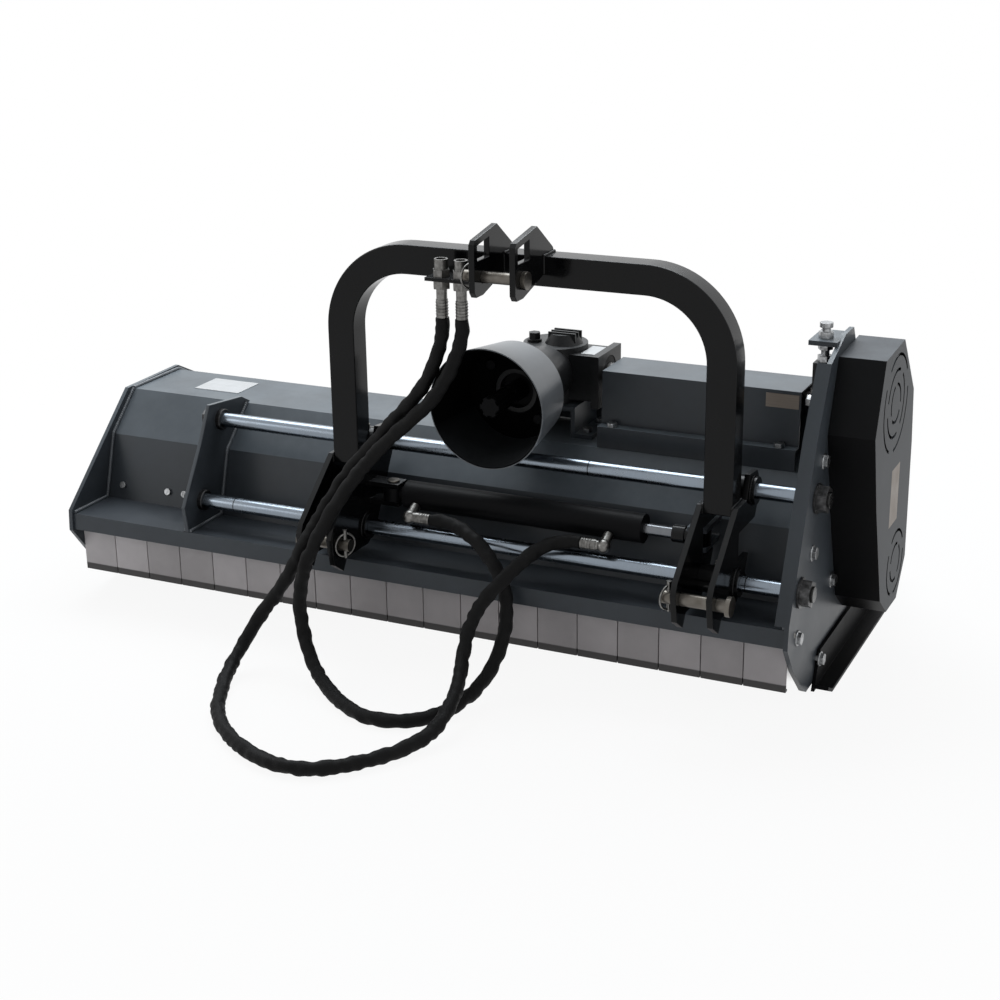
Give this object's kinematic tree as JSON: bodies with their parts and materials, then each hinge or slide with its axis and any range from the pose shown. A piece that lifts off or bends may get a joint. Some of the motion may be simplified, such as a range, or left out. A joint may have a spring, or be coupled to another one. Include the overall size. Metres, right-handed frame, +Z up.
{
  "type": "flail mower",
  "caption": "Tractor flail mower with a hydraulic side-shift hitch arch, gearbox and belt drive, swinging hammers under a bent hood, front flaps and a rear roller.",
  "frame": {"origin": "middle of the machine's bounding box on the ground, without the hoses", "axes": "+X along the rotor towards the belt side, -Y towards the tractor, +Z up"},
  "size_m": [1.52, 1.1856, 0.782],
  "materials": {
    "housing_paint": "semi-gloss dark grey paint",
    "black_paint": "gloss black paint",
    "bright_bar": "hard chromed bar",
    "zinc_steel": "zinc plated steel",
    "machined_steel": "machined steel",
    "flap_steel": "matt grey plated sheet",
    "gearbox_casting": "black painted casting",
    "hammer_iron": "forged iron",
    "belt_rubber": "belt rubber",
    "hose_sleeve": "black woven hose sleeve",
    "bare_plate": "bare plate with no lettering"
  },
  "bodies": {
    "chassis": {"hood": "housing_paint", "left_end_plate": "housing_paint", "right_end_plate": "housing_paint", "gusset": "housing_paint", "upper_bar": "bright_bar", "lower_bar": "bright_bar", "bar_nuts": "zinc_steel", "flap_rod": "zinc_steel", "ram_rod": "bright_bar", "rod_eye": "black_paint", "rod_lug": "housing_paint", "rod_pin": "zinc_steel", "shaft_guard": "black_paint", "guard_bolts": "zinc_steel", "gearbox_case": "gearbox_casting", "gearbox_cover": "gearbox_casting", "filler_plug": "gearbox_casting", "gearbox_stand": "housing_paint", "gearbox_bearings": "machined_steel", "shaft_box": "housing_paint", "shaft_carrier": "black_paint", "tension_bolt": "zinc_steel", "drive_belts": "belt_rubber", "belt_cover": "housing_paint", "rotor_bearings": "black_paint", "left_skid": "black_paint", "right_skid": "black_paint", "plate_bolts": "zinc_steel", "deck_bolts": "zinc_steel", "blank_plates": "bare_plate", "roller_brackets": "housing_paint"},
    "hitch_frame": {"hitch_arch": "black_paint", "left_bracket": "black_paint", "right_bracket": "black_paint", "slide_sleeves": "black_paint", "grease_nipples": "zinc_steel", "top_link_lugs": "black_paint", "top_pin": "zinc_steel", "lower_pins": "zinc_steel", "linch_pins": "zinc_steel", "ram_barrel": "black_paint", "base_pin": "zinc_steel", "port_elbows": "zinc_steel", "hose_ferrules": "zinc_steel", "bulkhead_bracket": "black_paint", "bulkhead_fittings": "zinc_steel", "outer_hose": "hose_sleeve", "inner_hose": "hose_sleeve"},
    "rotor": {"rotor": "black_paint", "hammer_bolts": "machined_steel", "rotor_pulley": "machined_steel"},
    "front_hammers": {"front_hammers": "hammer_iron"},
    "rear_hammers": {"rear_hammers": "hammer_iron"},
    "cross_shaft": {"drive_shaft": "machined_steel", "drive_pulley": "machined_steel", "bevel_pinion": "machined_steel"},
    "input_shaft": {"input_shaft": "machined_steel", "bevel_gear": "machined_steel"},
    "flaps": {"front_flaps": "flap_steel"},
    "roller": {"rear_roller": "black_paint"}
  },
  "joints": [
    {"name": "side_shift", "type": "slide", "parent": "chassis", "child": "hitch_frame", "axis": [1, 0, 0], "range_m": [-0.26, 0.045]},
    {"name": "rotor_spin", "type": "hinge", "parent": "chassis", "child": "rotor", "pos_m": [-0.022, 0.059, 0.162], "axis": [1, 0, 0], "continuous": true},
    {"name": "front_hammer_swing", "type": "hinge", "parent": "rotor", "child": "front_hammers", "pos_m": [-0.022, -0.023, 0.162], "axis": [1, 0, 0], "range_deg": [-100, 40]},
    {"name": "rear_hammer_swing", "type": "hinge", "parent": "rotor", "child": "rear_hammers", "pos_m": [-0.022, 0.141, 0.162], "axis": [1, 0, 0], "range_deg": [-40, 100]},
    {"name": "cross_shaft_spin", "type": "hinge", "parent": "chassis", "child": "cross_shaft", "pos_m": [-0.022, -0.011, 0.47], "axis": [1, 0, 0], "continuous": true},
    {"name": "input_spin", "type": "hinge", "parent": "chassis", "child": "input_shaft", "pos_m": [0.146, -0.011, 0.47], "axis": [0, 1, 0], "continuous": true},
    {"name": "flap_swing", "type": "hinge", "parent": "chassis", "child": "flaps", "pos_m": [-0.022, -0.2895, 0.15], "axis": [1, 0, 0], "range_deg": [0, 70]},
    {"name": "roller_spin", "type": "hinge", "parent": "chassis", "child": "roller", "pos_m": [-0.022, 0.344, 0.059], "axis": [1, 0, 0], "continuous": true}
  ],
  "couplings": [
    {"joint": "cross_shaft_spin", "follows": "rotor_spin", "ratio": 0.70454},
    {"joint": "input_spin", "follows": "rotor_spin", "ratio": 0.28182}
  ]
}
